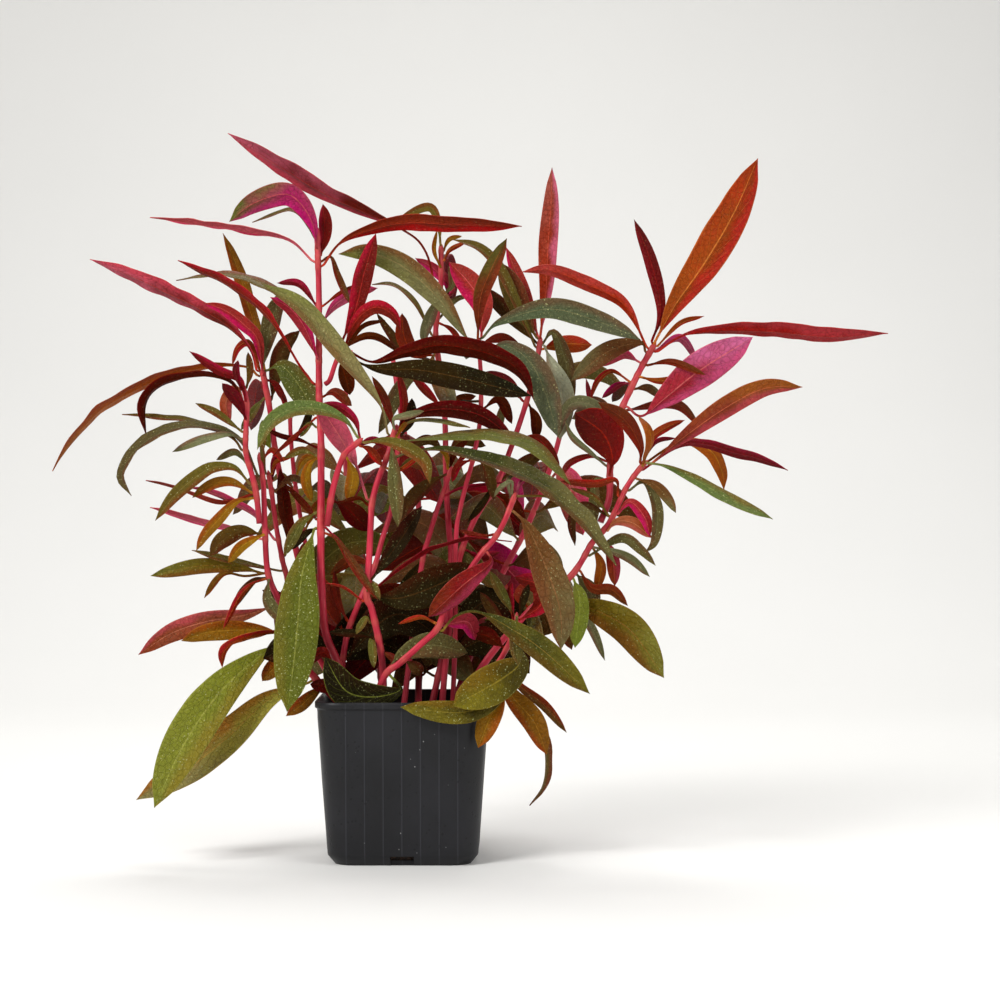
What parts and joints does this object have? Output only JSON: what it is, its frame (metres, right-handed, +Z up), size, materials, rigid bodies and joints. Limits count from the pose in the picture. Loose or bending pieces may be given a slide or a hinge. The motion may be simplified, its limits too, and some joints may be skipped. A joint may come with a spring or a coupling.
{
  "type": "potted stem plant",
  "caption": "Bushy potted Alternanthera reineckii: red stems with long narrow crimson, pink, olive and green leaves in a square black nursery pot.",
  "frame": {"origin": "middle of the pot's foot, on the surface it stands on", "axes": "+Z up along the pot's axis, +X to the viewer's right, -Y toward the viewer of the picture"},
  "size_m": [0.4405, 0.2253, 0.3817],
  "materials": {
    "pot_plastic": "satin black moulded plastic",
    "medium": "damp dark peat and bark",
    "stem_red": "smooth pink red stem",
    "leaf_crimson": "satin crimson underside",
    "leaf_deep_red": "satin deep red",
    "leaf_magenta": "satin magenta underside",
    "leaf_rose": "satin rose brown",
    "leaf_orange_red": "satin orange red",
    "leaf_gold": "satin gold brown",
    "leaf_olive": "satin olive",
    "leaf_olive_orange": "satin olive turning orange",
    "leaf_brown_olive": "satin brown olive",
    "leaf_brown": "satin red brown",
    "leaf_green": "satin green, pale dots",
    "leaf_yellow_green": "satin yellow green",
    "leaf_grey_green": "satin grey green",
    "leaf_pale": "satin pale grey green",
    "leaf_khaki": "satin khaki",
    "leaf_dark_green": "satin nearly black green",
    "leaf_maroon": "satin maroon underside"
  },
  "bodies": {
    "root": {"pot": "pot_plastic", "growing_medium": "medium", "stem_tall_left": "stem_red", "stem_second_left": "stem_red", "stem_side_shoot_left": "stem_red", "stem_centre": "stem_red", "stem_behind_centre": "stem_red", "stem_forked": "stem_red", "stem_middle_back": "stem_red", "stem_middle_right": "stem_red", "stem_middle_thin": "stem_red", "stem_pink_front": "stem_red", "stem_low_right": "stem_red", "stem_right": "stem_red", "stem_right_upper": "stem_red", "stem_outer_left": "stem_red", "stem_curved_left": "stem_red", "stem_inner_left": "stem_red", "stem_back_left": "stem_red", "stem_thin_left": "stem_red", "stem_rear_left": "stem_red", "stem_rear_middle": "stem_red", "stem_rear_right": "stem_red", "leaf_longest_crimson_top_left": "leaf_crimson", "leaf_bent_magenta_top": "leaf_magenta", "leaf_dark_crimson_top": "leaf_crimson", "leaf_upright_crimson_left": "leaf_crimson", "leaf_arched_olive_middle": "leaf_olive", "leaf_far_left_crimson": "leaf_crimson", "leaf_khaki_over_tall_stem": "leaf_khaki", "leaf_dark_speckled_left": "leaf_dark_green", "leaf_pale_green_bow_left": "leaf_green", "leaf_magenta_centre": "leaf_magenta", "leaf_maroon_bow_centre": "leaf_maroon", "leaf_blackish_centre": "leaf_dark_green", "leaf_blue_green_upper_right": "leaf_grey_green", "leaf_brown_upright_centre": "leaf_brown", "leaf_magenta_behind_top": "leaf_magenta", "leaf_red_spire": "leaf_orange_red", "leaf_crimson_right_to_middle": "leaf_crimson", "leaf_orange_red_top_right": "leaf_orange_red", "leaf_far_right_crimson": "leaf_crimson", "leaf_crinkled_pink_right": "leaf_magenta", "leaf_rose_brown_right": "leaf_rose", "leaf_fresh_green_right": "leaf_green", "leaf_deep_red_right": "leaf_deep_red", "leaf_grey_green_hanging": "leaf_grey_green", "leaf_pale_hanging": "leaf_pale", "leaf_olive_bow_centre": "leaf_olive", "leaf_green_bow_centre": "leaf_green", "leaf_crimson_bow_centre": "leaf_crimson", "leaf_olive_brown_hanging": "leaf_brown_olive", "leaf_olive_orange_low_right": "leaf_olive_orange", "leaf_olive_yellow_low_right": "leaf_olive_orange", "leaf_broad_yellow_green_rim": "leaf_yellow_green", "leaf_dark_curled_front_rim": "leaf_dark_green", "leaf_dotted_green_hanging_left": "leaf_green", "leaf_long_green_low_left": "leaf_green", "leaf_orange_green_low_left": "leaf_yellow_green", "leaf_long_orange_bow_left": "leaf_gold"}
  },
  "joints": []
}
